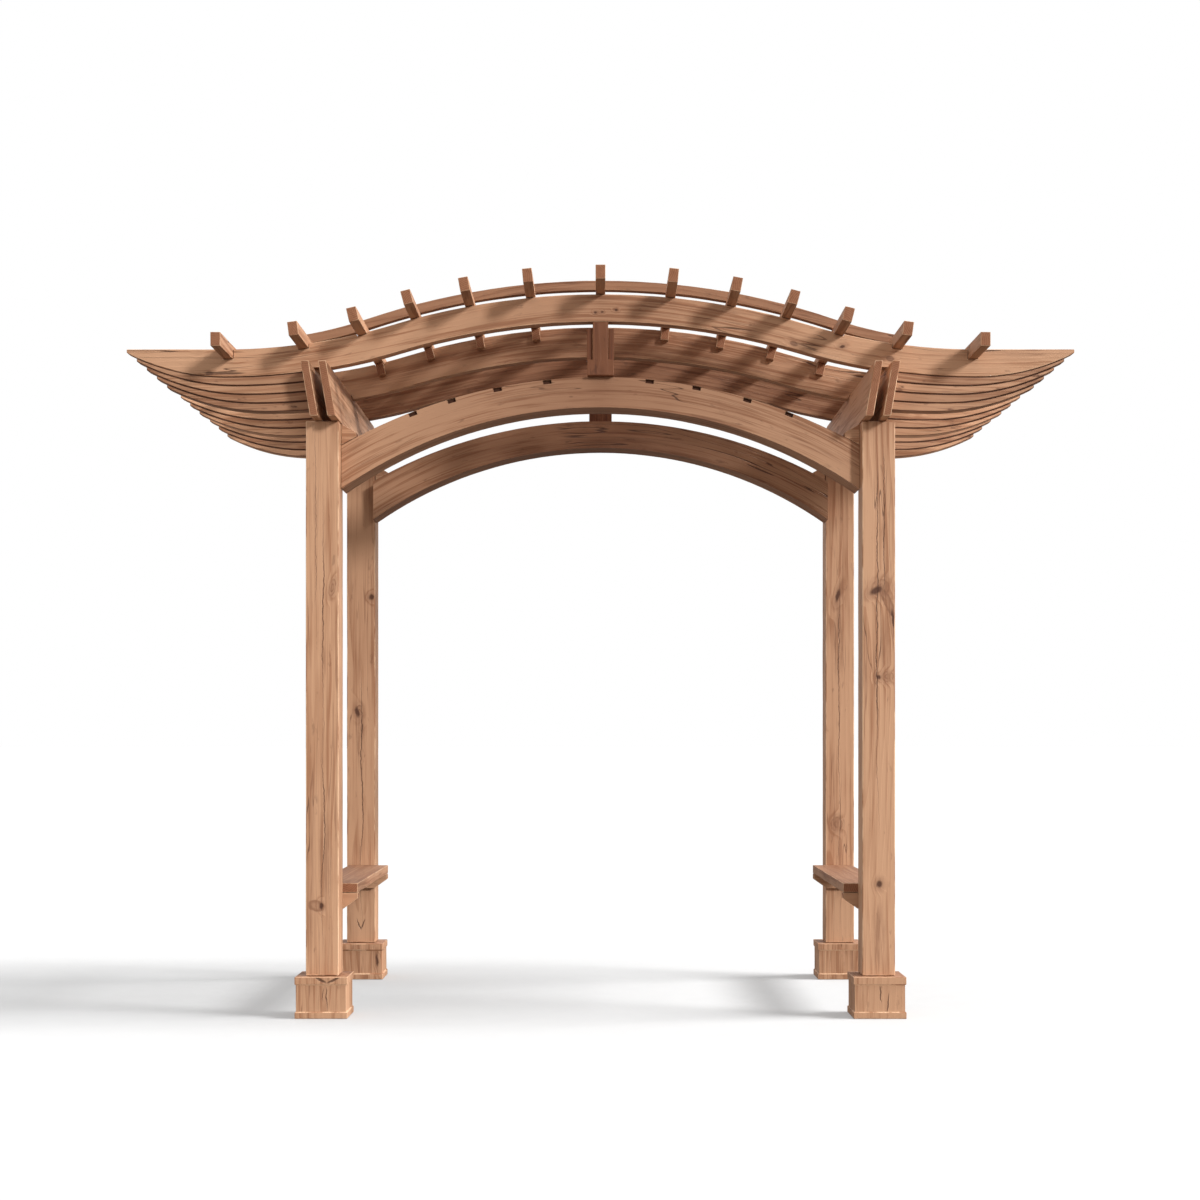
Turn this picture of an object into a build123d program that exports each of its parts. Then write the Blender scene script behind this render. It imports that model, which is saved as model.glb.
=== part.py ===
from build123d import *
import os
from math import asin, atan, cos, degrees, sin, sqrt, tan

# Arched timber pergola. X runs across the walkway, Y from front to back, Z up.
# The origin is on the ground, in the middle of the four feet. Lengths are millimetres.

# Posts and the feet they stand on
post_side = 120.0
post_span_x = 2000.0
post_span_y = 1170.0
post_top = 2145.0
foot_side = 182.0
foot_height = 150.0
foot_band_proud = 4.0
foot_cap_height = 28.0
foot_base_height = 24.0

# Wall plates: a pair of boards along each side, on the post tops, leaning square to the rafters
plate_thickness = 30.0
plate_gap = 32.0
plate_height = 197.0
plate_overhang = 110.0

# Rafters: an arch in the middle that sweeps out to level, pointed tails
rafter_thickness = 60.0
rafter_depth = 100.0
rafter_rise = 199.0
rafter_run = 1355.0
rafter_reach = 1711.0
rafter_tip_depth = 14.0
rafter_crown_share = 0.5535
middle_belly_depth = 18.0

# Leaves: thinner curved boards stacked under each rafter tail, every one shorter than the last
leaf_count = 4
leaf_step = 36.5
leaf_drop = 31.5
leaf_gap = 0.4

# Arched braces between the posts, set back from the posts' outer faces
arch_thickness = 150.0
arch_setback = 63.0
arch_crown_depth = 111.0
arch_crown_lift = 169.0
arch_top_rise = 248.0
arch_bottom_rise = 296.0

# King posts between the arch crowns and the rafters
king_base_width = 96.0
king_base_height = 57.0
king_width = 57.0
king_thickness = 90.0
cheek_width = 21.0
cheek_thickness = 60.0
cheek_shortfall = 21.0

# Purlins across the rafters: the outer three on each side are let into notches
purlin_width = 36.0
purlin_height = 50.0
purlin_overhang = 240.0
purlin_end_inset = 367.0
purlin_place_shares = (0.188, 0.351, 0.498, 0.641, 0.798, 1.0)
purlin_sink_shares = (0.0, 0.0, 0.0, 0.15, 0.36, 0.72)

# Curved laths that tie the purlins down
lath_depth = 36.0
lath_width = 40.0
lath_inset = 155.0
lath_end_inset = 232.0
lath_turn_share = 1.12
lath_eave_share = 0.707

# Chocks under the purlins, on both faces of the middle rafter
chock_width = 32.0
chock_thickness = 40.0
chock_height = 46.0
chock_count = 4

# Cleats: splayed corner blocks between the posts and the ends of the arches
cleat_width = 56.0
cleat_nose = 16.0

# Benches between the front and back posts
seat_height = 475.0
seat_thickness = 35.0
seat_overhang = 54.0
seat_setback = 10.0
bearer_thickness = 40.0
bearer_height = 60.0
bearer_nose = 22.0

# Clearance of flat pieces on curved ones
fit_gap = 0.3

# Places worked out from the sizes above
post_x = post_span_x / 2
post_y = post_span_y / 2
plate_top = post_top + plate_height
plate_pair_width = plate_gap + 2 * plate_thickness
plate_in_x = post_x - plate_pair_width / 2
plate_out_x = post_x + plate_pair_width / 2
purlin_reach = rafter_reach - purlin_end_inset
purlin_length = post_span_y + rafter_thickness + 2 * purlin_overhang
rafter_places = {"front": -post_y, "middle": 0.0, "back": post_y}
side_signs = {"left": -1, "right": 1}
end_signs = {"front": -1, "back": 1}

# The rafter's top edge is an arc at the crown and a reversed arc on each side, tangent where they meet
sweep_angle = 2 * atan(rafter_rise / rafter_run)
sweep_radii = rafter_run / sin(sweep_angle)
crown_radius = rafter_crown_share * sweep_radii
eave_radius = sweep_radii - crown_radius

# The plates lean out by the rafter's slope above the posts
plate_lean = plate_height * tan(asin((rafter_run - post_x) / eave_radius))

# The rafter's underside meets the top of the plates at their inner face
seat_run = rafter_run - plate_in_x - plate_lean / 2
eave_top = plate_top - eave_radius + sqrt((eave_radius + rafter_depth) ** 2 - seat_run**2)
eave_bottom = eave_top - rafter_depth
crown_top = eave_top + rafter_rise

# The underside of a tail is an arc from level up to the tip
tail_run = rafter_reach - rafter_run
tail_rise = rafter_depth - rafter_tip_depth
tail_radius = (tail_run**2 + tail_rise**2) / (2 * tail_rise)

arch_crown_top = post_top + arch_crown_lift
arch_y = post_y + post_side / 2 - arch_setback - arch_thickness / 2
king_y = post_y + rafter_thickness / 2 - king_thickness / 2


def point(x, z):
    return Vector(x, 0, z)


def board(outline, thickness, y=0.0):
    """A board whose outline lies in the X-Z plane, with its middle at y."""
    face = make_face(outline)
    return Pos(0, y, 0) * extrude(face, amount=thickness / 2, dir=(0, 1, 0), both=True)


def polygon(corners):
    return [Line(start, stop) for start, stop in zip(corners, corners[1:] + corners[:1])]


def on_side(shape, side):
    """A right-hand piece, or its mirror image on the left."""
    return shape if side > 0 else mirror(shape, about=Plane.YZ)


def block(size_x, size_y, size_z, x=0.0, y=0.0, bottom=0.0):
    """An upright timber with its foot at the given place."""
    return Pos(x, y, bottom) * Box(size_x, size_y, size_z, align=(Align.CENTER, Align.CENTER, Align.MIN))


def eave_arc_point(angle, offset):
    """A point on the right-hand reversed arc, the given angle before it comes level."""
    radius = eave_radius - offset
    return point(rafter_run - radius * sin(angle), eave_top + eave_radius - radius * cos(angle))


def tail_point(x, step):
    """A point under a right-hand tail, moved in and down by a number of leaf steps."""
    along = x + step * leaf_step - rafter_run
    rise = tail_radius - sqrt(tail_radius**2 - along**2)
    return point(x, eave_bottom + rise - step * leaf_drop)


def shifted(place, step, drop=0.0):
    return place - point(step * leaf_step, step * leaf_drop + drop)


def mirrored(place):
    return Vector(-place.X, place.Y, place.Z)


def sweep_edges(offset):
    """The rafter's curve at a height above its top edge, from the left eave to the right one."""
    level = eave_arc_point(0, offset)
    half_way = eave_arc_point(sweep_angle / 2, offset)
    turn = eave_arc_point(sweep_angle, offset)
    return [
        ThreePointArc(mirrored(level), mirrored(half_way), mirrored(turn)),
        ThreePointArc(mirrored(turn), point(0, crown_top + offset), turn),
        ThreePointArc(turn, half_way, level),
    ]


def curve_place(x):
    """Height of the rafter's top edge at x, and its slope in degrees."""
    turn_x = crown_radius * sin(sweep_angle)
    side = 1 if x > 0 else -1
    out = abs(x)
    if out < turn_x:
        angle = asin(out / crown_radius)
        return crown_top - crown_radius * (1 - cos(angle)), side * degrees(angle)
    if out < rafter_run:
        angle = asin((rafter_run - out) / eave_radius)
        return eave_top + eave_radius * (1 - cos(angle)), side * degrees(angle)
    return eave_top, 0.0


def leaning_board(x, width, length, y=0.0):
    """A right-hand board along the post tops that leans square to the rafters, or a notch for it."""
    low, high = x - plate_lean / 2, x + plate_lean / 2
    corners = [
        point(low - width / 2, post_top),
        point(low + width / 2, post_top),
        point(high + width / 2, plate_top),
        point(high - width / 2, plate_top),
    ]
    return board(polygon(corners), length, y)


def make_rafter(y):
    tip_top = point(rafter_reach, eave_top)
    level_top = point(rafter_run, eave_top)
    level_bottom = point(rafter_run, eave_bottom)
    tip_bottom = tail_point(rafter_reach, 0)
    tail_middle = tail_point(rafter_run + tail_run / 2, 0)
    outline = sweep_edges(0) + sweep_edges(-rafter_depth)
    for turn in (lambda place: place, mirrored):
        outline.append(Line(turn(level_top), turn(tip_top)))
        outline.append(Line(turn(tip_top), turn(tip_bottom)))
        outline.append(ThreePointArc(turn(tip_bottom), turn(tail_middle), turn(level_bottom)))
    rafter = board(outline, rafter_thickness, y)
    for side in side_signs.values():
        rafter -= on_side(leaning_board(post_x, plate_pair_width, rafter_thickness, y), side)
        for place_share, sink_share in zip(purlin_place_shares, purlin_sink_shares):
            if sink_share > 0:
                rafter -= purlin_block(side * place_share * purlin_reach, sink_share, fit_gap)
    return rafter


def make_middle_rafter():
    """The middle rafter is deeper between the plates."""
    low_level = eave_arc_point(0, -rafter_depth - middle_belly_depth)
    high_level = eave_arc_point(0, -rafter_depth)
    outline = sweep_edges(-rafter_depth) + sweep_edges(-rafter_depth - middle_belly_depth)
    outline.append(Line(low_level, high_level))
    outline.append(Line(mirrored(low_level), mirrored(high_level)))
    belly = board(outline, rafter_thickness) & block(2 * post_x, rafter_thickness, crown_top)
    for side in side_signs.values():
        belly -= on_side(leaning_board(post_x, plate_pair_width, rafter_thickness), side)
    return make_rafter(0.0) + belly


def make_leaf(step, y, side):
    """One board of the stack under a tail: its nose is square, its inner end bears on the plate."""
    nose_x = rafter_reach - step * leaf_step
    outline = []
    ends = []
    for order, drop in ((step, 0.0), (step - 1, leaf_gap)):
        turn = shifted(eave_arc_point(sweep_angle, -rafter_depth), order, drop)
        half_way = shifted(eave_arc_point(sweep_angle / 2, -rafter_depth), order, drop)
        level = shifted(point(rafter_run, eave_bottom), order, drop)
        tail_middle = tail_point((level.X + nose_x) / 2, order) - point(0, drop)
        nose = tail_point(nose_x, order) - point(0, drop)
        outline.append(ThreePointArc(turn, half_way, level))
        outline.append(ThreePointArc(level, tail_middle, nose))
        ends.append((turn, nose))
    outline.append(Line(ends[0][0], ends[1][0]))
    outline.append(Line(ends[0][1], ends[1][1]))
    leaf = board(outline, rafter_thickness, y)
    post_out_x = post_x + post_side / 2
    inside = [
        point(0, 0),
        point(post_out_x, 0),
        point(post_out_x, post_top),
        point(plate_out_x - plate_lean / 2, post_top),
        point(plate_out_x + plate_lean / 2, plate_top),
        point(plate_out_x + plate_lean / 2, crown_top),
        point(0, crown_top),
    ]
    leaf -= board(polygon(inside), rafter_thickness, y)
    return on_side(leaf, side)


def make_arch(y):
    end_x = post_x - post_side / 2
    crown_bottom = arch_crown_top - arch_crown_depth
    top_end = point(end_x, arch_crown_top - arch_top_rise)
    bottom_end = point(end_x, crown_bottom - arch_bottom_rise)
    outline = [
        ThreePointArc(mirrored(top_end), point(0, arch_crown_top), top_end),
        Line(top_end, bottom_end),
        ThreePointArc(bottom_end, point(0, crown_bottom), mirrored(bottom_end)),
        Line(mirrored(bottom_end), mirrored(top_end)),
    ]
    return board(outline, arch_thickness, y)


def king_heights():
    """The top of a king post's base, and the rafter's underside above its edges."""
    under_radius = crown_radius - rafter_depth
    dip = under_radius - sqrt(under_radius**2 - (king_width / 2) ** 2)
    return arch_crown_top + king_base_height, crown_top - rafter_depth - dip


def make_king_post(y):
    base_top, rafter_under = king_heights()
    base = block(king_base_width, king_thickness, king_base_height, 0, y, arch_crown_top)
    return base + block(king_width, king_thickness, rafter_under - base_top, 0, y, base_top)


def make_king_cheeks(y):
    base_top, rafter_under = king_heights()
    height = rafter_under - cheek_shortfall - base_top
    cheeks = []
    for side in side_signs.values():
        x = side * (king_width + cheek_width) / 2
        cheeks.append(block(cheek_width, cheek_thickness, height, x, y, base_top))
    return cheeks


def make_foot(x, y):
    band_side = foot_side + 2 * foot_band_proud
    foot = block(foot_side, foot_side, foot_height, x, y)
    foot += block(band_side, band_side, foot_base_height, x, y)
    foot += block(band_side, band_side, foot_cap_height, x, y, foot_height - foot_cap_height)
    return foot


def make_plate(side, layer):
    """One board of the pair on a side: layer is 1 for the outer board and -1 for the inner one."""
    length = post_span_y + post_side + 2 * plate_overhang
    x = post_x + layer * (plate_gap + plate_thickness) / 2
    return on_side(leaning_board(x, plate_thickness, length), side)


def purlin_block(x, sink_share, room):
    """A purlin at x, or with some room the notch that takes it."""
    z, slope = curve_place(x)
    bottom = fit_gap - room - sink_share * purlin_height
    timber = block(purlin_width + 2 * room, purlin_length, purlin_height, bottom=bottom)
    return Pos(x, 0, z) * Rot(0, slope, 0) * timber


def make_chocks(end):
    """Short blocks on one face of the middle rafter, one under each inner purlin."""
    chocks = []
    for side in side_signs.values():
        for place_share, sink_share in list(zip(purlin_place_shares, purlin_sink_shares))[:chock_count]:
            x = side * place_share * purlin_reach
            z, slope = curve_place(x)
            top = -sink_share * purlin_height
            chock = block(chock_width, chock_thickness, chock_height, bottom=top - chock_height)
            y = end * (rafter_thickness + chock_thickness) / 2
            chocks.append(Pos(x, y, z) * Rot(0, slope, 0) * chock)
    return chocks


def lath_edges(offset):
    """A lath's curve: it follows the crown further than the rafter does, then comes level sooner."""
    turn_angle = lath_turn_share * sweep_angle
    outer_radius = crown_radius + offset
    inner_radius = lath_eave_share * eave_radius - offset + purlin_height
    turn = point(outer_radius * sin(turn_angle), crown_top - crown_radius + outer_radius * cos(turn_angle))
    centre = turn + point(inner_radius * sin(turn_angle), inner_radius * cos(turn_angle))
    half_way = centre - point(inner_radius * sin(turn_angle / 2), inner_radius * cos(turn_angle / 2))
    level = centre - point(0, inner_radius)
    return level, [
        ThreePointArc(mirrored(level), mirrored(half_way), mirrored(turn)),
        ThreePointArc(mirrored(turn), point(0, crown_top + offset), turn),
        ThreePointArc(turn, half_way, level),
    ]


def make_lath(y):
    low_level, low_edges = lath_edges(purlin_height + 2 * fit_gap)
    high_level, high_edges = lath_edges(purlin_height + 2 * fit_gap + lath_depth)
    outline = low_edges + high_edges
    outline.append(Line(low_level, high_level))
    outline.append(Line(mirrored(low_level), mirrored(high_level)))
    end_x = purlin_reach - lath_end_inset
    return board(outline, lath_width, y) & block(2 * end_x, post_span_y + post_side, 2 * crown_top)


def arch_top_point(x):
    """A point just above the top edge of an arch."""
    end_x = post_x - post_side / 2
    radius = (end_x**2 + arch_top_rise**2) / (2 * arch_top_rise)
    return point(x, arch_crown_top - radius + sqrt(radius**2 - x**2) + fit_gap)


def make_cleat(side, end):
    """A corner block between a post and the end of an arch: its top is splayed down to a nose."""
    outer_x = post_x - post_side / 2
    inner_x = outer_x - cleat_width
    heel, sole, toe = (arch_top_point(x) for x in (outer_x, outer_x - cleat_width / 2, inner_x))
    top = point(outer_x, post_top)
    nose = toe + point(0, cleat_nose)
    outline = [ThreePointArc(heel, sole, toe), Line(toe, nose), Line(nose, top), Line(top, heel)]
    cleat = board(outline, post_side - arch_setback, end * (post_y - arch_setback / 2))
    return on_side(cleat, side)


def make_seat(side):
    """A plank between the posts: it stands back from their outer faces and overhangs the inner ones."""
    width = post_side - seat_setback + seat_overhang
    x = side * (post_x - (seat_overhang + seat_setback) / 2)
    return block(width, post_span_y - post_side, seat_thickness, x, 0, seat_height - seat_thickness)


def make_bearer(side, end):
    """A timber on the inner face of a post, under the seat, tapered where it overhangs the post."""
    top = seat_height - seat_thickness
    outer_x = post_x + post_side / 2 - seat_setback
    inner_x = post_x - post_side / 2
    corners = [
        point(outer_x, top),
        point(outer_x, top - bearer_height),
        point(inner_x, top - bearer_height),
        point(inner_x - seat_overhang, top - bearer_nose),
        point(inner_x - seat_overhang, top),
    ]
    bearer = board(polygon(corners), bearer_thickness, end * (post_y - (post_side + bearer_thickness) / 2))
    return on_side(bearer, side)


def make_nodes():
    nodes = {}
    for end_name, end in end_signs.items():
        for side_name, side in side_signs.items():
            corner = f"{end_name}_{side_name}"
            x, y = side * post_x, end * post_y
            nodes[f"foot_{corner}"] = make_foot(x, y)
            nodes[f"post_{corner}"] = block(post_side, post_side, post_top - foot_height, x, y, foot_height)
            nodes[f"cleat_{corner}"] = make_cleat(side, end)
            nodes[f"bearer_{corner}"] = make_bearer(side, end)
        nodes[f"arch_{end_name}"] = make_arch(end * arch_y)
        nodes[f"king_post_{end_name}"] = make_king_post(end * king_y)
        nodes[f"king_cheeks_{end_name}"] = make_king_cheeks(end * king_y)
        nodes[f"chocks_{end_name}"] = make_chocks(end)
        nodes[f"lath_{end_name}"] = make_lath(end * (post_y - lath_inset))
    for side_name, side in side_signs.items():
        nodes[f"seat_{side_name}"] = make_seat(side)
        nodes[f"plate_{side_name}_outer"] = make_plate(side, 1)
        nodes[f"plate_{side_name}_inner"] = make_plate(side, -1)
        purlin_shares = zip(purlin_place_shares, purlin_sink_shares)
        for number, (place_share, sink_share) in enumerate(purlin_shares, start=1):
            purlin_x = side * place_share * purlin_reach
            nodes[f"purlin_{side_name}_{number}"] = purlin_block(purlin_x, sink_share, 0.0)
    nodes["purlin_crown"] = purlin_block(0.0, 0.0, 0.0)
    for place, y in rafter_places.items():
        nodes[f"rafter_{place}"] = make_rafter(y) if y else make_middle_rafter()
        for side_name, side in side_signs.items():
            leaves = [make_leaf(step, y, side) for step in range(1, leaf_count + 1)]
            nodes[f"eave_leaves_{place}_{side_name}"] = leaves
    return nodes


os.makedirs("parts", exist_ok=True)
for node_name, shape in make_nodes().items():
    if isinstance(shape, list):
        shape = Compound(children=[solid for piece in shape for solid in piece.solids()])
    export_step(shape, f"parts/{node_name}.step")
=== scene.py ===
import math
import random

import bpy
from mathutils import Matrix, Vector


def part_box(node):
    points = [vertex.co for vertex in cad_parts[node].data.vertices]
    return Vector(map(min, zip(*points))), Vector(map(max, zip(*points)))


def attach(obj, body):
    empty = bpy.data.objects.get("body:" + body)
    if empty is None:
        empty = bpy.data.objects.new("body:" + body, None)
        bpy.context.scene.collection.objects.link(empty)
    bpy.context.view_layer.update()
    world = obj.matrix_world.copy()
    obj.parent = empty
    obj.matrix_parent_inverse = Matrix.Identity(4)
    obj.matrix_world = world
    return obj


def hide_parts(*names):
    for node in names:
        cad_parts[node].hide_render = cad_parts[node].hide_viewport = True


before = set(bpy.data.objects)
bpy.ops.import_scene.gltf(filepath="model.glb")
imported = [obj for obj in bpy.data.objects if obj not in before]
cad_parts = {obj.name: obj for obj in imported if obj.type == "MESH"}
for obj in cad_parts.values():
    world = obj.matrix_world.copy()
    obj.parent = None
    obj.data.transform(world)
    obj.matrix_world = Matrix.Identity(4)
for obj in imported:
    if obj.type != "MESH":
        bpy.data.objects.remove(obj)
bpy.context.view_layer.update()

# Arched timber pergola, in metres: X across the walkway, Y from front to back, Z up.

# The photograph's view: a level camera in front of the walkway, with the frame shifted up
camera_distance = 7.845
camera_height = 1.005
camera_lens = 60.12
camera_sensor = 36.0
camera_shift_x = -0.0004
camera_shift_y = 0.115

# Light: a soft sun from the right and one from the front for the timbers, a low one for the inner eaves,
# a high one that throws the soft shadow on the floor, a pale surround and a white floor
side_light_from = (0.78, -0.06, 0.61)
side_light_strength = 3.9
side_light_spread = 8.0
front_light_from = (0.50, -0.85, 0.30)
front_light_strength = 1.9
front_light_spread = 8.0
low_light_from = (0.20, -0.88, -0.42)
low_light_strength = 1.2
low_light_spread = 20.0
high_light_from = (0.57, -0.04, 0.82)
high_light_strength = 4.9
high_light_spread = 22.0
surround_strength = 0.80
floor_size = 400.0
floor_shade = 0.40
floor_mottle = 0.004
floor_glow = 0.215
floor_bounce = (0.140, 0.120, 0.104)

# How the timbers curve, for the run of their grain, and how far the painted shade at the crown reaches
rafter_rise = 0.199
rafter_run = 1.355
arch_radius = 1.77
crown_reach = 0.85

# Worked edges: the width of the eased arris and the waver of a sawn face
post_arris = 0.0045
board_arris = 0.0030
small_arris = 0.0022
leaf_arris = 0.0034
arris_angle = 35
smooth_angle = 32
face_waver = 0.0016
waver_length = 0.16
station_length = 0.055

# How a timber's faces are joined up, and how square to its length a sawn end is
merge_distance = 0.00005
flat_angle = 0.4
end_squareness = 0.8

# Mortises along the top edge of each arch's outer face
arch_top_radius = 1.905
mortise_places = (-0.683, -0.542, -0.375, -0.194, 0.179, 0.350, 0.535, 0.687)
mortise_length = 0.030
mortise_height = 0.013
mortise_depth = 0.012
mortise_drop = 0.0085
mortise_room = 0.001
mortise_lip = 0.002
mortise_largest_face = 0.0006

# Colours of the cedar, from the soft early wood to the dark knots
early_wood = (0.560, 0.316, 0.184)
late_wood = (0.365, 0.172, 0.088)
stain_wood = (0.235, 0.105, 0.055)
knot_wood = (0.075, 0.026, 0.013)
check_wood = (0.060, 0.024, 0.013)
# The pale arris colour is partly rubbed wear and partly painted highlight
arris_wear_and_highlight = (0.740, 0.490, 0.310)
end_wood = (0.300, 0.128, 0.064)
end_ring_wood = (0.150, 0.055, 0.028)
joint_wood = (0.165, 0.075, 0.040)
# The colour the tone darkens towards, both for the oil's darkening and for painted shade
oil_and_shade_wood = (0.26, 0.146, 0.086)

# Where a board was cut from its log: anywhere along it, and near the pith
log_length = 40
pith_offset = 0.06

# The cedar's figure: how often each pattern repeats in a metre along the log and across it
fine_grain = {"scale": (5.0, 210.0, 210.0), "detail": 4.0, "rough": 0.65}
streak_grain = {"scale": (1.1, 46.0, 46.0), "detail": 4.0, "rough": 0.62}
patch_grain = {"scale": (1.7, 6.0, 6.0), "detail": 3.0, "rough": 0.55}
drift_grain = {"scale": (0.9, 5.0, 5.0), "detail": 2.0, "rough": 0.50}
stain_grain = {"scale": (0.8, 9.0, 9.0), "shift": (7, 3, 1), "detail": 4.0, "rough": 0.60}
speck_grain = {"scale": (13.0, 40.0, 40.0), "shift": (2, 9, 4), "detail": 3.0, "rough": 0.60}
hair_grain = {"scale": (1.3, 44.0, 44.0), "shift": (6, 2, 8), "detail": 2.0, "rough": 0.45}
check_grain = {"scale": (1.0, 19.0, 19.0), "shift": (3, 1, 5), "detail": 2.0, "rough": 0.45}
opened_grain = {"scale": (1.6, 4.0, 4.0), "shift": (1, 8, 2), "detail": 2.0}
edge_grain = {"scale": (6.0, 150.0, 150.0), "detail": 4.0, "rough": 0.65}
edge_wear = {"scale": (4.0, 16.0, 16.0), "detail": 4.0, "rough": 0.62}
end_mottle = {"scale": (1, 60, 60), "detail": 4.0, "rough": 0.65}
mortise_mottle = {"scale": (40, 90, 90), "detail": 3.0}
knot_scale = (6.0, 9.0, 9.0)
rings_in_a_metre = 52.0
end_rings_in_a_metre = 150.0
ring_drift = 0.11
ring_bend_at_knot = 0.022

# How marks waver on a post: the slow sway of a long check, and the rough rim of any mark
sway_grain = {"scale": (0, 0, 3.5), "shift": (5, 1, 0), "detail": 1.0}
sway_width = 0.034
jitter_grain = {"scale": (40, 0, 45), "detail": 2.0}
jitter_width = 0.010
burr_grain = {"scale": (55, 55, 30), "detail": 2.0}
flame_grain = {"scale": (120, 120, 7), "detail": 3.0}

# Oil on the wood
oil_gloss = 0.28
face_roughness = 0.52
edge_roughness = 0.55
grain_relief = 0.0022
end_relief = 0.002

draw = random.Random(41)


def deselect():
    if bpy.context.object and bpy.context.object.mode != "OBJECT":
        bpy.ops.object.mode_set(mode="OBJECT")
    bpy.ops.object.select_all(action="DESELECT")


def take_up(piece):
    """Select one piece alone."""
    deselect()
    piece.select_set(True)
    bpy.context.view_layer.objects.active = piece


def finish_modifier(piece, kind, **settings):
    take_up(piece)
    modifier = piece.modifiers.new(kind.lower(), kind)
    for name, value in settings.items():
        setattr(modifier, name, value)
    bpy.ops.object.modifier_apply(modifier=modifier.name)


def timber_copy(node):
    """A workable copy of a timber: joined up, with flat faces in one piece."""
    take_up(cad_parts[node])
    bpy.ops.object.duplicate()
    piece = bpy.context.object
    piece.name = f"{node}_timber"
    piece.data.name = piece.name
    piece.data.materials.clear()
    for mark in list(piece.keys()):
        del piece[mark]
    bpy.ops.object.mode_set(mode="EDIT")
    bpy.ops.mesh.select_all(action="SELECT")
    bpy.ops.mesh.remove_doubles(threshold=merge_distance)
    bpy.ops.mesh.dissolve_limited(angle_limit=math.radians(flat_angle))
    bpy.ops.object.mode_set(mode="OBJECT")
    return piece


def saw_stations(piece, axis):
    """Cut a timber across at even stations along its length."""
    reach = [vertex.co[axis] for vertex in piece.data.vertices]
    low, high = min(reach), max(reach)
    count = max(1, round((high - low) / station_length))
    direction = Vector((0, 0, 0))
    direction[axis] = 1
    take_up(piece)
    bpy.ops.object.mode_set(mode="EDIT")
    for station in range(1, count):
        bpy.ops.mesh.select_all(action="SELECT")
        place = direction * (low + (high - low) * station / count)
        bpy.ops.mesh.bisect(plane_co=place, plane_no=direction)
    bpy.ops.object.mode_set(mode="OBJECT")


def sweep_height(x):
    """The rise of a rafter's curve at x."""
    if abs(x) > rafter_run:
        return 0.0
    return rafter_rise * (1 + math.cos(math.pi * x / rafter_run)) / 2


def arch_height(x):
    """The rise of an arch's curve at x."""
    return math.sqrt(arch_radius**2 - x**2)


def straight_grain(axis):
    """Grain along one axis: the run along the timber, then the two ways across it."""
    others = [other for other in range(3) if other != axis]
    return lambda place: (place[axis], place[others[0]], place[others[1]])


def curved_grain(height):
    """Grain that runs across the walkway and follows a curve."""
    return lambda place: (place.x, place.y, place.z - height(place.x))


def boards_of(piece):
    """The points of each separate board in a piece."""
    lead = list(range(len(piece.data.vertices)))

    def first(index):
        while lead[index] != index:
            lead[index] = lead[lead[index]]
            index = lead[index]
        return index

    for edge in piece.data.edges:
        one, other = first(edge.vertices[0]), first(edge.vertices[1])
        lead[max(one, other)] = min(one, other)
    boards = {}
    for vertex in piece.data.vertices:
        boards.setdefault(first(vertex.index), []).append(vertex)
    return [boards[start] for start in sorted(boards)]


def crown_share(x):
    """How near the crown of the pergola a place lies, which sets how much painted shade it gets."""
    return max(0.0, 1 - abs(x) / crown_reach)


def lay_grain(piece, grain, tone, spread, crown):
    """Store where each point lies in its own log, for the run of the figure, and how dark it is: its tone,
    which is partly painted shade, plus painted shade towards the crown.
    """
    piece.data.attributes.new("log", "FLOAT_VECTOR", "POINT")
    piece.data.attributes.new("tone", "FLOAT", "POINT")
    log, tones = piece.data.attributes["log"], piece.data.attributes["tone"]
    for points in boards_of(piece):
        along = draw.uniform(-log_length, log_length)
        across = draw.uniform(-pith_offset, pith_offset)
        deep = draw.uniform(-pith_offset, pith_offset)
        middle = grain(sum((vertex.co for vertex in points), Vector()) / len(points))
        shade = max(0.0, tone + draw.uniform(-spread, spread))
        for vertex in points:
            run, width, depth = grain(vertex.co)
            spot = (run + along, width - middle[1] + across, depth - middle[2] + deep)
            log.data[vertex.index].vector = spot
            tones.data[vertex.index].value = shade + crown * crown_share(vertex.co.x)


waver = bpy.data.textures.new("sawn_waver", "CLOUDS")
waver.noise_scale = waver_length
waver.noise_depth = 2

face_slot, arris_slot, end_slot, mortise_slot = 0, 1, 2, 3


def cut_mortises(piece, node):
    """Sink a row of small mortises into the arch's outer face, just under its top edge."""
    low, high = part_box(node)
    outer_y = low.y if high.y < 0 else high.y
    centre_z = high.z - arch_top_radius
    radius = arch_top_radius - mortise_drop
    cutters = []
    for x in mortise_places:
        lean = math.asin(x / arch_top_radius)
        place = (radius * math.sin(lean), outer_y, centre_z + radius * math.cos(lean))
        deselect()
        bpy.ops.mesh.primitive_cube_add(size=1, location=place, rotation=(0, lean, 0),
                                        scale=(mortise_length, 2 * mortise_depth, mortise_height))
        cutters.append(bpy.context.object)
    deselect()
    for cutter in cutters:
        cutter.select_set(True)
    bpy.context.view_layer.objects.active = cutters[0]
    bpy.ops.object.join()
    row = bpy.context.object
    bpy.ops.object.transform_apply(location=True, rotation=True, scale=True)
    finish_modifier(piece, "BOOLEAN", object=row, operation="DIFFERENCE", solver="EXACT")
    bpy.data.objects.remove(row)
    reach = mortise_length / 2 + mortise_room
    for face in piece.data.polygons:
        sunk = mortise_lip < abs(face.center.y - outer_y) < 1.5 * mortise_depth
        beside = min(abs(face.center.x - x) for x in mortise_places) < reach
        if sunk and beside and face.area < mortise_largest_face:
            # The inside of each mortise gets painted shade
            face.material_index = mortise_slot


def mark_ends(piece, axis):
    """Give the sawn ends of a timber their own finish."""
    for face in piece.data.polygons:
        if face.material_index == face_slot and abs(face.normal[axis]) > end_squareness:
            face.material_index = end_slot


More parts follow.
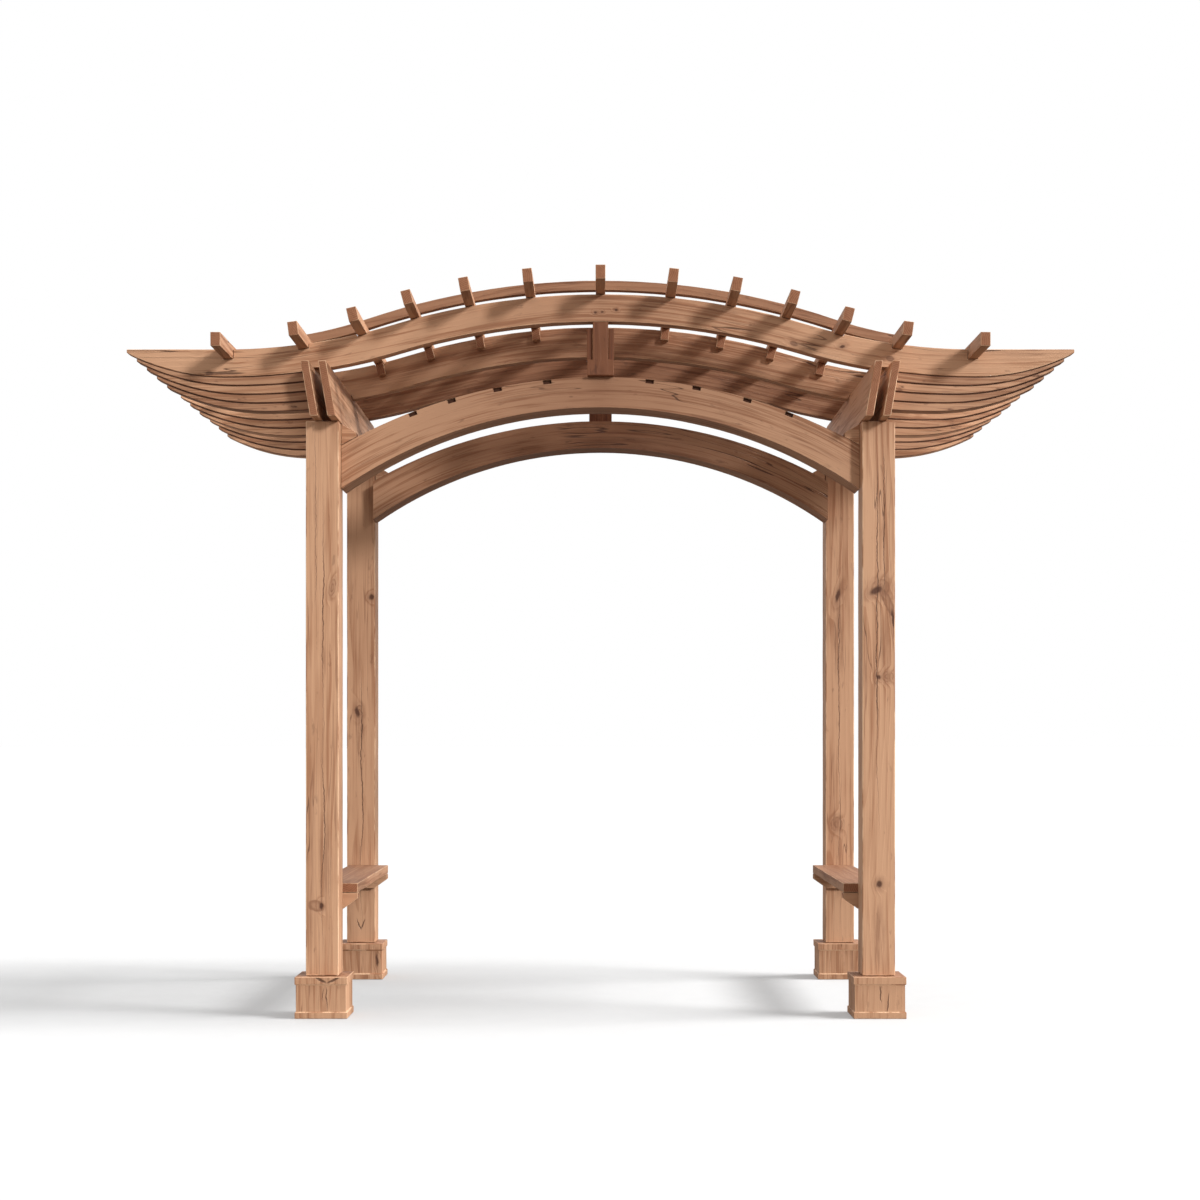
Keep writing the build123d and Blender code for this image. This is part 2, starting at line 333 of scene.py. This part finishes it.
def dress_timber(node, kind, tone):
    """Work one timber: mortises, eased edges, sawn faces, grain and finish."""
    piece = timber_copy(node)
    axis = kind["axis"]
    for material in (kind["cedar"], kind["edge"], kind["ends"], mortise_shade_finish):
        piece.data.materials.append(material)
    if node.startswith("arch_"):
        cut_mortises(piece, node)
    finish_modifier(piece, "BEVEL", width=kind["arris"], segments=2, limit_method="ANGLE",
                    angle_limit=math.radians(arris_angle), material=arris_slot)
    saw_stations(piece, axis)
    finish_modifier(piece, "DISPLACE", texture=waver, strength=face_waver, mid_level=1.0,
                    texture_coords="LOCAL")
    mark_ends(piece, axis)
    lay_grain(piece, kind["grain"], tone, kind["spread"], kind["crown"])
    take_up(piece)
    bpy.ops.object.shade_smooth_by_angle(angle=math.radians(smooth_angle))
    finish_modifier(piece, "WEIGHTED_NORMAL", keep_sharp=True)
    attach(piece, "root")
    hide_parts(node)
    return piece


class Nodes:
    """A short hand for laying out the nodes of one material, or of the surround."""

    def __init__(self, owner):
        owner.use_nodes = True
        self.owner = owner
        self.tree = owner.node_tree

    def add(self, kind, inputs=(), **settings):
        node = self.tree.nodes.new(kind)
        for name, value in settings.items():
            setattr(node, name, value)
        for socket, value in dict(inputs).items():
            self.put(node.inputs[socket], value)
        return node

    def put(self, socket, value):
        if isinstance(value, bpy.types.NodeSocket):
            self.tree.links.new(value, socket)
        else:
            socket.default_value = value

    def attribute(self, name, output):
        return self.add("ShaderNodeAttribute", attribute_name=name).outputs[output]

    def math(self, operation, first, second=0.0, clamp=False):
        node = self.add("ShaderNodeMath", {0: first, 1: second}, operation=operation, use_clamp=clamp)
        return node.outputs[0]

    def plus(self, first, second, clamp=False):
        return self.math("ADD", first, second, clamp)

    def minus(self, first, second):
        return self.math("SUBTRACT", first, second)

    def times(self, first, second):
        return self.math("MULTIPLY", first, second)

    def most(self, first, second):
        return self.math("MAXIMUM", first, second)

    def vector(self, operation, first, second=(0, 0, 0), output=0):
        return self.add("ShaderNodeVectorMath", {0: first, 1: second}, operation=operation).outputs[output]

    def length(self, vector):
        return self.vector("LENGTH", vector, output="Value")

    def stretch(self, vector, scale, shift=(0, 0, 0), turn=(0, 0, 0)):
        inputs = {"Vector": vector, "Scale": scale, "Location": shift, "Rotation": turn}
        return self.add("ShaderNodeMapping", inputs).outputs[0]

    def pattern(self, vector, scale, shift=(0, 0, 0), detail=3.0, rough=0.55):
        """A noise, stretched to one of the named grains."""
        laid = self.stretch(vector, scale, shift)
        inputs = {"Vector": laid, "Scale": 1.0, "Detail": detail, "Roughness": rough}
        return self.add("ShaderNodeTexNoise", inputs).outputs["Fac"]

    def band(self, value, low, high, start=0.0, stop=1.0):
        """A soft step from start to stop, as a value goes from low to high."""
        inputs = {"Value": value, "From Min": low, "From Max": high, "To Min": start, "To Max": stop}
        return self.add("ShaderNodeMapRange", inputs, interpolation_type="SMOOTHSTEP").outputs["Result"]

    def about(self, value, share):
        """A noise, moved to swing evenly about zero by a share."""
        return self.times(self.minus(value, 0.5), share)

    def thread(self, value, outer, inner):
        """A thin line where a noise passes its middle."""
        return self.band(self.math("ABSOLUTE", self.minus(value, 0.5)), outer, inner)

    def offset(self, x, z):
        return self.add("ShaderNodeCombineXYZ", {"X": x, "Z": z}).outputs[0]

    def mix(self, share, first, second, blend="MIX"):
        node = self.add("ShaderNodeMix", data_type="RGBA", blend_type=blend)
        self.put(node.inputs["Factor"], share)
        for socket, value in ((node.inputs[6], first), (node.inputs[7], second)):
            self.put(socket, value if isinstance(value, bpy.types.NodeSocket) else (*value, 1.0))
        return node.outputs[2]


class Wood(Nodes):
    """The nodes of one cedar finish, laid along each timber's own log."""

    def __init__(self, name):
        super().__init__(bpy.data.materials.new(name))
        self.shader = self.tree.nodes["Principled BSDF"]
        self.shader.inputs["Specular IOR Level"].default_value = oil_gloss
        self.log = self.attribute("log", "Vector")

    def from_pith(self):
        """The distance from the middle of the log."""
        return self.length(self.vector("MULTIPLY", self.log, (0, 1, 1)))

    def oiled_and_shaded(self, colour):
        """Darken and redden a timber by its tone, which is partly the oil's darkening and partly painted
        shade.
        """
        tone = self.attribute("tone", "Fac")
        return self.mix(tone, colour, self.mix(1.0, colour, oil_and_shade_wood, "MULTIPLY"))

    def finish(self, colour, roughness):
        self.put(self.shader.inputs["Base Color"], colour)
        self.put(self.shader.inputs["Roughness"], roughness)
        return self.owner

    def emboss(self, height, strength, depth):
        bump = self.add("ShaderNodeBump", {"Height": height, "Strength": strength, "Distance": depth})
        self.put(self.shader.inputs["Normal"], bump.outputs["Normal"])


def chance_knots(wood, facing, knot_share, chance_in_front):
    """Knots strewn through the log: the core, the bend of the grain round it and the flush of colour."""
    cell = wood.add("ShaderNodeTexVoronoi", {"Vector": wood.stretch(wood.log, knot_scale), "Scale": 1.0})
    picked = wood.band(cell.outputs["Color"], 0.40, 0.36, 0.0, knot_share)
    picked = wood.times(picked, wood.band(facing["Y"], -0.8, -0.4, chance_in_front, 1.0))
    away = cell.outputs["Distance"]
    knot = wood.times(wood.band(away, 0.11, 0.07), picked)
    bend = wood.times(wood.band(away, 0.30, 0.08), picked)
    flush = wood.times(wood.band(away, 0.20, 0.08), picked)
    return knot, bend, flush


def add_marks(wood, marks, opened, knot, bend, flush):
    """Add the knots, eyes, burrs, stains, checks and splits that have a place of their own."""
    place = wood.add("ShaderNodeTexCoord").outputs["Object"]
    sway = wood.about(wood.pattern(place, **sway_grain), sway_width)
    jitter = wood.about(wood.pattern(place, **jitter_grain), jitter_width)
    wander = wood.offset(wood.plus(sway, jitter), jitter)
    rough = wood.offset(jitter, jitter)
    broken = wood.pattern(place, **burr_grain)
    flamed = wood.band(wood.pattern(place, **flame_grain), 0.40, 0.62, 0.15, 0.75)
    gap = 0.0
    stained = 0.0
    for mark, spot, size, lean in marks:
        away = wood.vector("SUBTRACT", place, spot)
        away = wood.vector("ADD", away, wander if mark == "check" else rough)
        away = wood.stretch(away, (1, 1, 1), turn=(0, math.radians(lean), 0))
        away = wood.length(wood.stretch(away, tuple(1 / side for side in size)))
        if mark == "knot":
            knot = wood.most(knot, wood.band(away, 1.15, 0.45))
            bend = wood.most(bend, wood.band(away, 3.4, 0.7))
            flush = wood.most(flush, wood.band(away, 2.8, 0.7))
        elif mark == "eye":
            rim = wood.times(wood.band(away, 0.35, 0.95, 0.45, 1.0), wood.band(away, 1.3, 0.95))
            stained = wood.most(stained, rim)
        elif mark == "burr":
            rings = wood.band(wood.math("FRACT", wood.times(away, 3.0)), 0.30, 0.85)
            rings = wood.times(rings, wood.band(broken, 0.38, 0.62))
            stained = wood.most(stained, wood.times(rings, wood.band(away, 1.1, 0.5)))
            bend = wood.most(bend, wood.band(away, 1.6, 0.3))
            flush = wood.most(flush, wood.band(away, 1.3, 0.2))
        elif mark == "stain":
            stained = wood.most(stained, wood.times(flamed, wood.band(away, 1.0, 0.3)))
        elif mark == "check":
            line = wood.times(wood.band(away, 1.0, 0.5), wood.band(opened, 0.34, 0.58, 0.25, 1.0))
            gap = wood.most(gap, line)
        else:
            gap = wood.most(gap, wood.band(away, 1.0, 0.5))
    return knot, bend, flush, stained, gap


def late_rings(wood, bend):
    """The dark late wood of the growth rings, which drift along the log and bend round knots."""
    drift = wood.pattern(wood.log, **drift_grain)
    ring = wood.plus(wood.from_pith(), wood.times(drift, ring_drift))
    ring = wood.plus(ring, wood.times(bend, ring_bend_at_knot))
    wave = wood.math("FRACT", wood.times(ring, rings_in_a_metre))
    return wood.times(wood.band(wave, 0.40, 0.90), wood.band(wave, 1.0, 0.92))


def cedar(name, marks=(), knot_share=1.0, check_share=1.0, figure_share=1.0, seat_top_darkening=0.0, speck_share=0.3,
          chance_in_front=1.0):
    """Oiled cedar: growth rings round a pith, fine grain, knots, stains and long dark checks."""
    wood = Wood(name)
    normal = wood.add("ShaderNodeNewGeometry").outputs["Normal"]
    facing = wood.add("ShaderNodeSeparateXYZ", {0: normal}).outputs
    opened = wood.pattern(wood.log, **opened_grain)

    # Knots bend the grain round them, so they come first
    knot, bend, flush = chance_knots(wood, facing, knot_share, chance_in_front)
    knot, bend, flush, stained, gap = add_marks(wood, marks, opened, knot, bend, flush)
    late = late_rings(wood, bend)

    # Fine grain, long streaks and broad patches of colour
    fine = wood.pattern(wood.log, **fine_grain)
    streak = wood.pattern(wood.log, **streak_grain)
    patch = wood.pattern(wood.log, **patch_grain)
    figure = wood.times(late, wood.band(patch, 0.30, 0.72, 0.20, 0.85))
    figure = wood.plus(figure, wood.about(fine, 1.30 * figure_share))
    figure = wood.plus(figure, wood.about(streak, 2.60 * figure_share))
    figure = wood.plus(figure, wood.about(patch, 1.20 * figure_share))
    figure = wood.plus(figure, 0.08, clamp=True)
    colour = wood.mix(figure, early_wood, late_wood)

    # Stains, specks and hair lines
    stain = wood.pattern(wood.log, **stain_grain)
    colour = wood.mix(wood.band(stain, 0.58, 0.78, 0.0, 0.50), colour, stain_wood)
    colour = wood.mix(wood.times(flush, 0.42), colour, stain_wood)
    colour = wood.mix(wood.times(stained, 0.75), colour, stain_wood)
    speck = wood.pattern(wood.log, **speck_grain)
    colour = wood.mix(wood.band(speck, 0.62, 0.74, 0.0, speck_share), colour, knot_wood)
    hair = wood.thread(wood.pattern(wood.log, **hair_grain), 0.022, 0.004)
    hair = wood.times(hair, wood.band(patch, 0.46, 0.60, 0.0, 0.62))
    colour = wood.mix(hair, colour, stain_wood)

    # Long drying checks, opened here and there
    check = wood.thread(wood.pattern(wood.log, **check_grain), 0.0075, 0.002)
    check = wood.times(check, wood.band(opened, 0.54, 0.62, 0.0, check_share))
    check = wood.most(check, gap)

    # Oil and painted shade by tone, a streaky darkening of the upward faces of a seat, and then what stays
    # dark under them
    colour = wood.oiled_and_shaded(colour)
    if seat_top_darkening:
        darkening = wood.times(wood.band(facing["Z"], 0.6, 0.9), seat_top_darkening)
        darkening = wood.times(darkening, wood.band(streak, 0.32, 0.62, 0.45, 1.0))
        colour = wood.mix(darkening, colour, stain_wood)
    colour = wood.mix(wood.times(knot, 0.92), colour, knot_wood)
    colour = wood.mix(wood.times(check, 0.80), colour, check_wood)

    relief = wood.plus(wood.times(fine, 0.35), wood.times(late, 0.25))
    relief = wood.minus(relief, wood.times(check, 1.6))
    relief = wood.minus(relief, wood.times(knot, 0.3))
    wood.emboss(relief, 0.55, grain_relief)
    return wood.finish(colour, wood.plus(wood.times(fine, 0.22), face_roughness))


def worn_edge(name, rubbed, shaded, rub_share):
    """The eased edges: rubbed pale in places, dark in others; on the arris the pale is partly wear and
    partly painted highlight.
    """
    wood = Wood(name)
    fine = wood.pattern(wood.log, **edge_grain)
    darkening = wood.pattern(wood.log, **edge_wear)
    colour = wood.mix(wood.band(fine, 0.3, 0.75), rubbed, early_wood)
    colour = wood.mix(wood.band(darkening, rub_share, rub_share + 0.14), colour, shaded)
    return wood.finish(wood.oiled_and_shaded(colour), wood.plus(wood.times(fine, 0.2), edge_roughness))


def sawn_end(name):
    """End grain: dark rings round the pith, mottled across."""
    wood = Wood(name)
    mottle = wood.pattern(wood.vector("MULTIPLY", wood.log, (0, 1, 1)), **end_mottle)
    wave = wood.math("FRACT", wood.plus(wood.times(wood.from_pith(), end_rings_in_a_metre), mottle))
    dark = wood.plus(wood.band(wave, 0.3, 0.9, 0.0, 0.6), wood.about(mottle, 0.9), clamp=True)
    wood.emboss(mottle, 0.5, end_relief)
    return wood.finish(wood.mix(dark, end_wood, end_ring_wood), wood.band(mottle, 0.2, 0.8, 0.7, 0.9))


def mortise_wood(name):
    """The painted shade inside a mortise."""
    wood = Wood(name)
    mottle = wood.pattern(wood.log, **mortise_mottle)
    return wood.finish(wood.mix(mottle, knot_wood, check_wood), 0.9)


def pale_floor():
    """A pale floor that goes to white in the picture and keeps the soft shadow."""
    deselect()
    bpy.ops.mesh.primitive_plane_add(size=floor_size, location=(0, 0, 0))
    floor = bpy.context.object
    floor.name = "pale_floor"
    ground = Nodes(bpy.data.materials.new("pale_floor"))
    seen = ground.add("ShaderNodeLightPath").outputs["Is Camera Ray"]
    speck = ground.pattern(ground.add("ShaderNodeTexCoord").outputs["Object"], (9, 9, 9))
    shade = ground.band(speck, 0.3, 0.7, floor_shade - floor_mottle, floor_shade + floor_mottle)
    inputs = ground.tree.nodes["Principled BSDF"].inputs
    ground.put(inputs["Base Color"], ground.mix(seen, floor_bounce, shade))
    ground.put(inputs["Emission Strength"], ground.times(seen, floor_glow))
    inputs["Emission Color"].default_value = (1, 1, 1, 1)
    inputs["Roughness"].default_value = 0.95
    inputs["Specular IOR Level"].default_value = 0.0
    floor.data.materials.append(ground.owner)
    return floor


def white_surround():
    """A white surround for the camera and for gloss, and a plainer one to light by."""
    surround = Nodes(bpy.data.worlds.new("white_surround"))
    bpy.context.scene.world = surround.owner
    rays = surround.add("ShaderNodeLightPath").outputs
    seen = surround.most(rays["Is Transmission Ray"], rays["Is Glossy Ray"])
    seen = surround.most(rays["Is Camera Ray"], seen)
    level = surround.add("ShaderNodeMapRange", {"Value": seen, "To Min": surround_strength, "To Max": 1.0})
    back = surround.tree.nodes["Background"]
    back.inputs["Color"].default_value = (1, 1, 1, 1)
    surround.put(back.inputs["Strength"], level.outputs["Result"])


def sun_lamp(name, light_from, strength, spread):
    lamp = bpy.data.lights.new(name, "SUN")
    lamp.energy = strength
    lamp.angle = math.radians(spread)
    stand = bpy.data.objects.new(name, lamp)
    bpy.context.scene.collection.objects.link(stand)
    stand.rotation_euler = Vector(light_from).to_track_quat("Z", "Y").to_euler()
    return stand


def light_group(name, pieces):
    """The pieces that a light falls on, or that stand in its way."""
    group = bpy.data.collections.new(name)
    for piece in pieces:
        group.objects.link(piece)
    return group


def set_lights(timbers, floor):
    """Lights from the right, from the front and low down for the timbers, and from above for the floor."""
    inner_leaves = ("eave_leaves_middle", "eave_leaves_back")
    lit_timbers = light_group("lit_timbers", timbers)
    leaves = [piece for piece in timbers if piece.name.startswith(inner_leaves)]
    lit_leaves = light_group("low_lit_leaves", leaves)
    lit_floor = light_group("high_lit_floor", [floor])
    side = sun_lamp("side_light", side_light_from, side_light_strength, side_light_spread)
    front = sun_lamp("front_light", front_light_from, front_light_strength, front_light_spread)
    low = sun_lamp("low_light", low_light_from, low_light_strength, low_light_spread)
    high = sun_lamp("high_light", high_light_from, high_light_strength, high_light_spread)
    side.light_linking.receiver_collection = lit_timbers
    front.light_linking.receiver_collection = lit_timbers
    low.light_linking.receiver_collection = lit_leaves
    low.light_linking.blocker_collection = lit_timbers
    high.light_linking.receiver_collection = lit_floor


def photograph_camera():
    """The level camera that took the photograph."""
    camera = bpy.data.cameras.new("front_view")
    camera.sensor_width = camera_sensor
    camera.lens = camera_lens
    camera.shift_x = camera_shift_x
    camera.shift_y = camera_shift_y
    stand = bpy.data.objects.new("front_view", camera)
    bpy.context.scene.collection.objects.link(stand)
    stand.location = (0, -camera_distance, camera_height)
    stand.rotation_euler = (math.radians(90), 0, 0)
    bpy.context.scene.camera = stand


bpy.context.scene.view_settings.view_transform = "Standard"

# Knots and splits that show on the posts and feet: kind, place, half sizes, lean in degrees
post_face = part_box("post_front_left")[0].y
back_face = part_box("post_back_left")[0].y
foot_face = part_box("foot_front_left")[0].y
back_foot_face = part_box("foot_back_left")[0].y
post_marks = (
    ("knot", (-1.003, post_face, 0.402), (0.0075, 0.060, 0.013), 10),
    ("eye", (-1.022, post_face, 0.402), (0.0260, 0.060, 0.018), -20),
    ("knot", (1.002, post_face, 0.480), (0.0120, 0.060, 0.015), 0),
    ("knot", (0.999, post_face, 1.224), (0.0100, 0.060, 0.011), 0),
    ("knot", (0.990, post_face, 1.535), (0.0290, 0.060, 0.014), 28),
    ("burr", (1.006, post_face, 1.545), (0.0520, 0.060, 0.046), 20),
    ("eye", (1.034, post_face, 1.490), (0.0130, 0.060, 0.050), 24),
    ("burr", (1.032, post_face, 1.226), (0.0320, 0.060, 0.030), 0),
    ("stain", (1.000, post_face, 0.290), (0.0300, 0.060, 0.190), 0),
    ("stain", (1.022, post_face, 1.330), (0.0260, 0.060, 0.160), 0),
    ("stain", (-0.990, post_face, 0.560), (0.0300, 0.060, 0.260), 0),
    ("stain", (0.995, back_face, 0.480), (0.0260, 0.060, 0.180), 0),
    ("stain", (0.992, back_face, 1.420), (0.0240, 0.060, 0.260), 0),
    ("stain", (-1.000, back_face, 0.980), (0.0220, 0.060, 0.200), 0),
    ("knot", (1.052, post_face, 1.430), (0.0070, 0.020, 0.044), 8),
    ("burr", (-0.964, post_face, 1.545), (0.0180, 0.060, 0.050), -12),
    ("knot", (-1.016, back_face, 1.113), (0.0105, 0.060, 0.027), 10),
    ("burr", (-1.006, back_face, 1.110), (0.0260, 0.060, 0.050), 0),
    ("knot", (-0.956, back_face, 1.594), (0.0130, 0.060, 0.014), 0),
    ("knot", (0.991, back_face, 1.600), (0.0100, 0.060, 0.032), -14),
    ("burr", (0.986, back_face, 0.645), (0.0360, 0.060, 0.046), 0),
    ("check", (-0.997, post_face, 1.150), (0.0024, 0.030, 1.050), 0),
    ("check", (-1.024, post_face, 1.800), (0.0020, 0.030, 0.380), 0),
    ("check", (0.994, post_face, 1.350), (0.0024, 0.030, 0.850), 0),
    ("check", (1.018, post_face, 1.780), (0.0020, 0.030, 0.340), 0),
    ("check", (-0.998, back_face, 0.800), (0.0026, 0.030, 0.660), 0),
    ("check", (0.996, back_face, 1.200), (0.0022, 0.030, 0.900), 0),
    ("split", (-1.009, back_face, 0.226), (0.0036, 0.030, 0.030), 22),
    ("split", (-0.993, back_face, 0.226), (0.0034, 0.030, 0.028), -20),
    ("split", (-1.002, foot_face, 0.139), (0.0290, 0.030, 0.0052), -28),
    ("split", (-0.955, foot_face, 0.139), (0.0300, 0.030, 0.0052), 24),
    ("split", (-0.980, foot_face, 0.072), (0.0024, 0.030, 0.056), 2),
    ("split", (-0.994, foot_face, 0.085), (0.0016, 0.030, 0.030), -5),
    ("split", (1.002, foot_face, 0.088), (0.0026, 0.030, 0.040), 4),
    ("split", (1.029, foot_face, 0.058), (0.0028, 0.030, 0.046), -5),
    ("knot", (-0.930, back_foot_face, 0.080), (0.0060, 0.060, 0.030), 6),
)

# Small knots on the outer face of the front rafter
rafter_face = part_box("rafter_front")[0].y
rafter_marks = (
    ("knot", (-0.018, rafter_face, 2.541), (0.0075, 0.060, 0.0048), 10),
    ("knot", (0.006, rafter_face, 2.542), (0.0060, 0.060, 0.0040), 0),
    ("knot", (0.056, rafter_face, 2.549), (0.0070, 0.060, 0.0050), -12),
    ("knot", (0.873, rafter_face, 2.417), (0.0120, 0.060, 0.0065), 15),
)

# The finishes: knots by chance, drying checks and figure each have a share
worn_and_highlit_edge = worn_edge("worn_arris", arris_wear_and_highlight, late_wood, 0.46)
joint_edge = worn_edge("leaf_joint", late_wood, joint_wood, 0.30)
end_cedar = sawn_end("sawn_end")
mortise_shade_finish = mortise_wood("mortise_wood")
post_cedar = cedar("post_cedar", post_marks, knot_share=0.8, check_share=0.8, figure_share=1.1,
                   chance_in_front=0.0)
beam_cedar = cedar("beam_cedar", rafter_marks, knot_share=0.6, figure_share=2.3, speck_share=0.4)
leaf_cedar = cedar("leaf_cedar", check_share=0.5, figure_share=2.0, speck_share=0.8)
batten_cedar = cedar("batten_cedar", knot_share=0.4, figure_share=1.3)
bench_cedar = cedar("bench_cedar", knot_share=0.1, figure_share=1.3, seat_top_darkening=0.75)

along_x, along_y, along_z = 0, 1, 2
up_grain, long_grain, cross_grain = (straight_grain(axis) for axis in (along_z, along_y, along_x))
arch_grain, sweep_grain = curved_grain(arch_height), curved_grain(sweep_height)


def timber_kind(slot, grain, axis, arris, finish, edge=worn_and_highlit_edge, spread=0.06, crown=0.0, ends=end_cedar):
    """How one kind of timber is worked; spread says how its tone varies at random, and the crown value how
    much painted shade darkens it towards the crown.
    """
    return {"slot": slot, "grain": grain, "axis": axis, "arris": arris, "cedar": finish, "edge": edge,
            "spread": spread, "crown": crown, "ends": ends}


timber_kinds = {
    "post_": timber_kind("post_timber", up_grain, along_z, post_arris, post_cedar),
    "foot_": timber_kind("post_timber", up_grain, along_z, board_arris, post_cedar, ends=bench_cedar),
    "cleat_": timber_kind("beam_timber", cross_grain, along_x, small_arris, beam_cedar),
    # The crown values paint shade onto the middle of the arches and rafters, where the roof shades them
    "arch_": timber_kind("beam_timber", arch_grain, along_x, board_arris, beam_cedar, crown=0.42),
    "king_": timber_kind("beam_timber", up_grain, along_z, small_arris, beam_cedar),
    "plate_": timber_kind("beam_timber", long_grain, along_y, board_arris, beam_cedar),
    "rafter_": timber_kind("beam_timber", sweep_grain, along_x, board_arris, beam_cedar, crown=0.34),
    "eave_leaves_": timber_kind("leaf_timber", sweep_grain, along_x, leaf_arris, leaf_cedar, joint_edge,
                                spread=0.20),
    "purlin_": timber_kind("batten_timber", long_grain, along_y, small_arris, batten_cedar),
    "chocks_": timber_kind("batten_timber", long_grain, along_y, small_arris, batten_cedar),
    "lath_": timber_kind("batten_timber", sweep_grain, along_x, small_arris, batten_cedar),
    "seat_": timber_kind("bench_timber", long_grain, along_y, board_arris, bench_cedar),
    "bearer_": timber_kind("bench_timber", cross_grain, along_x, small_arris, bench_cedar),
}

# How dark each timber is: partly the oil's tone and partly painted shade, as the roof timbers are darker
# for the shade they stand in, most of all the king post, the back arch, the middle and back rafters and the
# front-left eave leaves; the longest name that fits a piece holds
oil_and_shade_tones = {
    "post_": 0.02, "post_back_left": 0.12, "foot_": 0.12, "cleat_": 0.04,
    "arch_front": 0.22, "arch_back": 0.34, "king_": 1.0, "plate_": 0.02,
    "rafter_front": 0.08, "rafter_middle": 0.20, "rafter_back": 0.46,
    "eave_leaves_": 0.20, "eave_leaves_front_left": 0.28,
    "purlin_": 0.28, "chocks_": 0.36, "lath_": 0.54, "seat_": 0.42, "bearer_": 0.16,
}

timbers = []
for node in sorted(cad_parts):
    start = next(start for start in timber_kinds if node.startswith(start))
    tone = max((name for name in oil_and_shade_tones if node.startswith(name)), key=len)
    timbers.append(dress_timber(node, timber_kinds[start], oil_and_shade_tones[tone]))

floor = pale_floor()
white_surround()
set_lights(timbers, floor)
photograph_camera()
